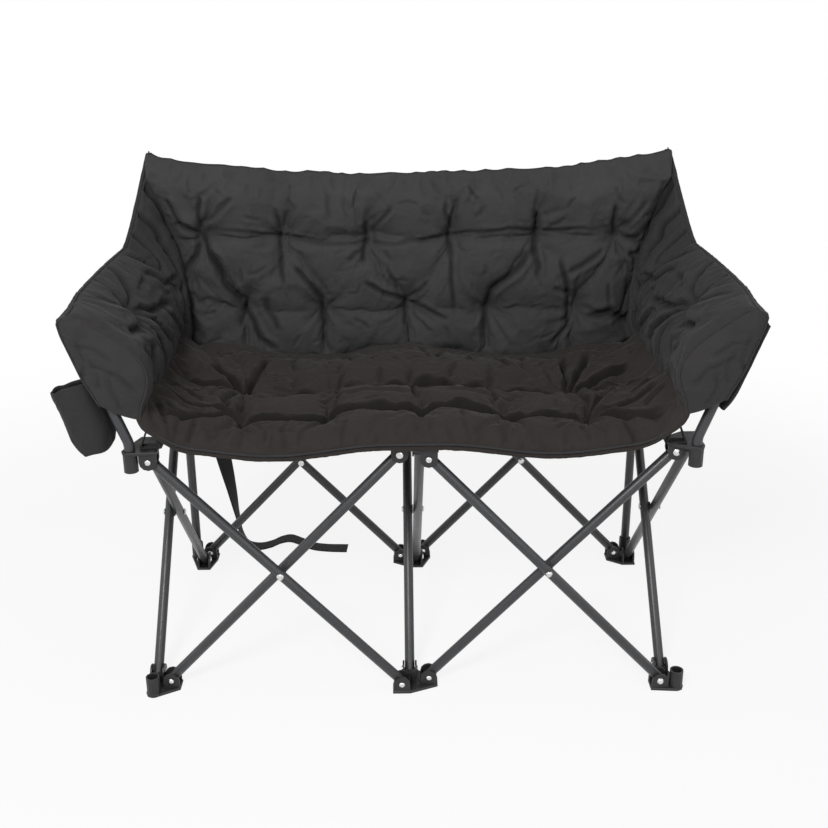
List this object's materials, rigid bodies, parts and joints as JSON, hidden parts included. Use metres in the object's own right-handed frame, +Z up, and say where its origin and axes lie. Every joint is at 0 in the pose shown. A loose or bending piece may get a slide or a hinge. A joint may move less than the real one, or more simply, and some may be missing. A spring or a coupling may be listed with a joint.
{
  "type": "folding camping loveseat",
  "caption": "Folding two-seat camping chair with a quilted seat, back and side wings on a frame of crossed tubes.",
  "frame": {"origin": "on the floor, under the middle of the front centre foot", "axes": "+X to the right as seen from the front, +Y to the rear, +Z up"},
  "size_m": [1.2426, 0.632, 0.9526],
  "materials": {
    "coated_steel": "satin powder coat",
    "black_plastic": "fine moulded grain",
    "bright_steel": "bright nickel plate",
    "nylon": "matt",
    "quilted_cloth": "matt woven polyester with a light sheen",
    "bag_cloth": "matt woven polyester",
    "webbing": "woven webbing"
  },
  "bodies": {
    "rear_centre_foot": {"rear_centre_foot": "black_plastic", "back_pad": "quilted_cloth"},
    "centre_rear_foot_leg": {"centre_depth_rear_foot_tube": "coated_steel", "centre_depth_rivet": "bright_steel", "centre_depth_spacer": "nylon"},
    "front_centre_hub": {"front_centre_hub": "black_plastic"},
    "centre_front_foot_leg": {"centre_depth_front_foot_tube": "coated_steel"},
    "front_centre_foot": {"front_centre_foot": "black_plastic"},
    "rear_centre_hub": {"rear_centre_hub": "black_plastic"},
    "rear_right_rising_leg": {"rear_right_rising_tube": "coated_steel", "rear_right_rivet": "bright_steel", "rear_right_spacer": "nylon"},
    "rear_right_hub": {"rear_right_hub": "black_plastic"},
    "rear_right_falling_leg": {"rear_right_falling_tube": "coated_steel"},
    "rear_right_foot": {"rear_right_foot": "black_plastic", "right_back_post": "coated_steel", "right_post_cap": "black_plastic", "right_wing": "quilted_cloth"},
    "rear_left_falling_leg": {"rear_left_falling_tube": "coated_steel", "rear_left_rivet": "bright_steel", "rear_left_spacer": "nylon"},
    "rear_left_hub": {"rear_left_hub": "black_plastic", "carry_strap": "webbing"},
    "rear_left_rising_leg": {"rear_left_rising_tube": "coated_steel"},
    "rear_left_foot": {"rear_left_foot": "black_plastic", "left_back_post": "coated_steel", "left_post_cap": "black_plastic", "left_wing": "quilted_cloth"},
    "right_rear_foot_leg": {"right_depth_rear_foot_tube": "coated_steel", "right_depth_rivet": "bright_steel", "right_depth_spacer": "nylon"},
    "front_right_hub": {"front_right_hub": "black_plastic", "right_arm_tube": "coated_steel", "right_arm_cap": "black_plastic", "right_corner_loop": "webbing", "right_pocket": "bag_cloth"},
    "right_front_foot_leg": {"right_depth_front_foot_tube": "coated_steel"},
    "front_right_foot": {"front_right_foot": "black_plastic"},
    "left_rear_foot_leg": {"left_depth_rear_foot_tube": "coated_steel", "left_depth_rivet": "bright_steel", "left_depth_spacer": "nylon"},
    "front_left_hub": {"front_left_hub": "black_plastic", "left_arm_tube": "coated_steel", "left_arm_cap": "black_plastic", "left_corner_loop": "webbing", "left_pouch": "bag_cloth"},
    "left_front_foot_leg": {"left_depth_front_foot_tube": "coated_steel"},
    "front_left_foot": {"front_left_foot": "black_plastic"},
    "front_right_rising_leg": {"front_right_rising_tube": "coated_steel", "front_right_rivet": "bright_steel", "front_right_spacer": "nylon"},
    "front_right_falling_leg": {"front_right_falling_tube": "coated_steel"},
    "front_left_falling_leg": {"front_left_falling_tube": "coated_steel", "front_left_rivet": "bright_steel", "front_left_spacer": "nylon"},
    "front_left_rising_leg": {"front_left_rising_tube": "coated_steel"},
    "seat_rear": {"seat_rear": "quilted_cloth"},
    "seat_front": {"seat_front": "quilted_cloth"}
  },
  "joints": [
    {"name": "fold", "type": "hinge", "parent": "rear_centre_foot", "child": "centre_rear_foot_leg", "pos_m": [0.0105, 0.478, 0.02], "axis": [-1, 0, 0], "range_deg": [0, 35.32], "deforming": ["seat_front", "seat_rear", "back_pad", "left_wing", "right_wing"]},
    {"name": "centre_rear_foot_leg_to_front_hub", "type": "hinge", "parent": "centre_rear_foot_leg", "child": "front_centre_hub", "pos_m": [0.0105, 0.03, 0.49508], "axis": [1, 0, 0], "range_deg": [0, 35.33]},
    {"name": "centre_depth_crossing", "type": "hinge", "parent": "centre_rear_foot_leg", "child": "centre_front_foot_leg", "pos_m": [0, 0.254, 0.25754], "axis": [1, 0, 0], "range_deg": [0, 70.65]},
    {"name": "centre_front_foot_leg_to_foot", "type": "hinge", "parent": "centre_front_foot_leg", "child": "front_centre_foot", "pos_m": [-0.0105, 0.03, 0.02], "axis": [-1, 0, 0], "range_deg": [0, 35.33]},
    {"name": "centre_front_foot_leg_to_rear_hub", "type": "hinge", "parent": "centre_front_foot_leg", "child": "rear_centre_hub", "pos_m": [-0.0105, 0.478, 0.49508], "axis": [-1, 0, 0], "range_deg": [0, 35.33]},
    {"name": "rear_right_rising_leg_to_foot", "type": "hinge", "parent": "rear_centre_foot", "child": "rear_right_rising_leg", "pos_m": [0.026, 0.5185, 0.02], "axis": [0, -1, 0], "range_deg": [0, 35.33]},
    {"name": "rear_right_rising_leg_to_hub", "type": "hinge", "parent": "rear_right_rising_leg", "child": "rear_right_hub", "pos_m": [0.474, 0.5185, 0.49508], "axis": [0, 1, 0], "range_deg": [0, 35.33]},
    {"name": "rear_right_crossing", "type": "hinge", "parent": "rear_right_rising_leg", "child": "rear_right_falling_leg", "pos_m": [0.25, 0.508, 0.25754], "axis": [0, 1, 0], "range_deg": [0, 70.65]},
    {"name": "rear_right_falling_leg_to_foot", "type": "hinge", "parent": "rear_right_falling_leg", "child": "rear_right_foot", "pos_m": [0.474, 0.4975, 0.02], "axis": [0, -1, 0], "range_deg": [0, 35.33]},
    {"name": "rear_left_falling_leg_to_foot", "type": "hinge", "parent": "rear_centre_foot", "child": "rear_left_falling_leg", "pos_m": [-0.026, 0.4975, 0.02], "axis": [0, 1, 0], "range_deg": [0, 35.33]},
    {"name": "rear_left_falling_leg_to_hub", "type": "hinge", "parent": "rear_left_falling_leg", "child": "rear_left_hub", "pos_m": [-0.474, 0.4975, 0.49508], "axis": [0, -1, 0], "range_deg": [0, 35.33]},
    {"name": "rear_left_crossing", "type": "hinge", "parent": "rear_left_falling_leg", "child": "rear_left_rising_leg", "pos_m": [-0.25, 0.508, 0.25754], "axis": [0, -1, 0], "range_deg": [0, 70.65]},
    {"name": "rear_left_rising_leg_to_foot", "type": "hinge", "parent": "rear_left_rising_leg", "child": "rear_left_foot", "pos_m": [-0.474, 0.5185, 0.02], "axis": [0, 1, 0], "range_deg": [0, 35.33]},
    {"name": "right_rear_foot_leg_to_foot", "type": "hinge", "parent": "rear_right_foot", "child": "right_rear_foot_leg", "pos_m": [0.5045, 0.478, 0.02], "axis": [-1, 0, 0], "range_deg": [0, 35.33]},
    {"name": "right_rear_foot_leg_to_front_hub", "type": "hinge", "parent": "right_rear_foot_leg", "child": "front_right_hub", "pos_m": [0.5045, 0.03, 0.49508], "axis": [1, 0, 0], "range_deg": [0, 35.33]},
    {"name": "right_depth_crossing", "type": "hinge", "parent": "right_rear_foot_leg", "child": "right_front_foot_leg", "pos_m": [0.494, 0.254, 0.25754], "axis": [1, 0, 0], "range_deg": [0, 70.65]},
    {"name": "right_front_foot_leg_to_foot", "type": "hinge", "parent": "right_front_foot_leg", "child": "front_right_foot", "pos_m": [0.4835, 0.03, 0.02], "axis": [-1, 0, 0], "range_deg": [0, 35.33]},
    {"name": "left_rear_foot_leg_to_foot", "type": "hinge", "parent": "rear_left_foot", "child": "left_rear_foot_leg", "pos_m": [-0.4835, 0.478, 0.02], "axis": [-1, 0, 0], "range_deg": [0, 35.33]},
    {"name": "left_rear_foot_leg_to_front_hub", "type": "hinge", "parent": "left_rear_foot_leg", "child": "front_left_hub", "pos_m": [-0.4835, 0.03, 0.49508], "axis": [1, 0, 0], "range_deg": [0, 35.33]},
    {"name": "left_depth_crossing", "type": "hinge", "parent": "left_rear_foot_leg", "child": "left_front_foot_leg", "pos_m": [-0.494, 0.254, 0.25754], "axis": [1, 0, 0], "range_deg": [0, 70.65]},
    {"name": "left_front_foot_leg_to_foot", "type": "hinge", "parent": "left_front_foot_leg", "child": "front_left_foot", "pos_m": [-0.5045, 0.03, 0.02], "axis": [-1, 0, 0], "range_deg": [0, 35.33]},
    {"name": "front_right_rising_leg_to_foot", "type": "hinge", "parent": "front_centre_foot", "child": "front_right_rising_leg", "pos_m": [0.026, 0.0105, 0.02], "axis": [0, -1, 0], "range_deg": [0, 35.33]},
    {"name": "front_right_crossing", "type": "hinge", "parent": "front_right_rising_leg", "child": "front_right_falling_leg", "pos_m": [0.25, 0, 0.25754], "axis": [0, 1, 0], "range_deg": [0, 70.65]},
    {"name": "front_left_falling_leg_to_foot", "type": "hinge", "parent": "front_centre_foot", "child": "front_left_falling_leg", "pos_m": [-0.026, -0.0105, 0.02], "axis": [0, 1, 0], "range_deg": [0, 35.33]},
    {"name": "front_left_crossing", "type": "hinge", "parent": "front_left_falling_leg", "child": "front_left_rising_leg", "pos_m": [-0.25, 0, 0.25754], "axis": [0, -1, 0], "range_deg": [0, 70.65]},
    {"name": "seat_rear_lift", "type": "hinge", "parent": "rear_centre_hub", "child": "seat_rear", "pos_m": [0, 0.47, 0.52088], "axis": [-1, 0, 0], "range_deg": [0, 73.33]},
    {"name": "seat_seam_fold", "type": "hinge", "parent": "seat_rear", "child": "seat_front", "pos_m": [0, 0.2195, 0.52088], "axis": [1, 0, 0], "range_deg": [0, 146.64]}
  ],
  "couplings": [
    {"joint": "centre_rear_foot_leg_to_front_hub", "follows": "fold", "ratio": 1},
    {"joint": "centre_depth_crossing", "follows": "fold", "ratio": 2},
    {"joint": "centre_front_foot_leg_to_foot", "follows": "fold", "ratio": 1},
    {"joint": "centre_front_foot_leg_to_rear_hub", "follows": "fold", "ratio": 1},
    {"joint": "rear_right_rising_leg_to_foot", "follows": "fold", "ratio": 1},
    {"joint": "rear_right_rising_leg_to_hub", "follows": "fold", "ratio": 1},
    {"joint": "rear_right_crossing", "follows": "fold", "ratio": 2},
    {"joint": "rear_right_falling_leg_to_foot", "follows": "fold", "ratio": 1},
    {"joint": "rear_left_falling_leg_to_foot", "follows": "fold", "ratio": 1},
    {"joint": "rear_left_falling_leg_to_hub", "follows": "fold", "ratio": 1},
    {"joint": "rear_left_crossing", "follows": "fold", "ratio": 2},
    {"joint": "rear_left_rising_leg_to_foot", "follows": "fold", "ratio": 1},
    {"joint": "right_rear_foot_leg_to_foot", "follows": "fold", "ratio": 1},
    {"joint": "right_rear_foot_leg_to_front_hub", "follows": "fold", "ratio": 1},
    {"joint": "right_depth_crossing", "follows": "fold", "ratio": 2},
    {"joint": "right_front_foot_leg_to_foot", "follows": "fold", "ratio": 1},
    {"joint": "left_rear_foot_leg_to_foot", "follows": "fold", "ratio": 1},
    {"joint": "left_rear_foot_leg_to_front_hub", "follows": "fold", "ratio": 1},
    {"joint": "left_depth_crossing", "follows": "fold", "ratio": 2},
    {"joint": "left_front_foot_leg_to_foot", "follows": "fold", "ratio": 1},
    {"joint": "front_right_rising_leg_to_foot", "follows": "fold", "ratio": 1},
    {"joint": "front_right_crossing", "follows": "fold", "ratio": 2},
    {"joint": "front_left_falling_leg_to_foot", "follows": "fold", "ratio": 1},
    {"joint": "front_left_crossing", "follows": "fold", "ratio": 2},
    {"joint": "seat_rear_lift", "follows": "fold", "ratio": 2.0757},
    {"joint": "seat_seam_fold", "follows": "fold", "ratio": 4.1514}
  ]
}
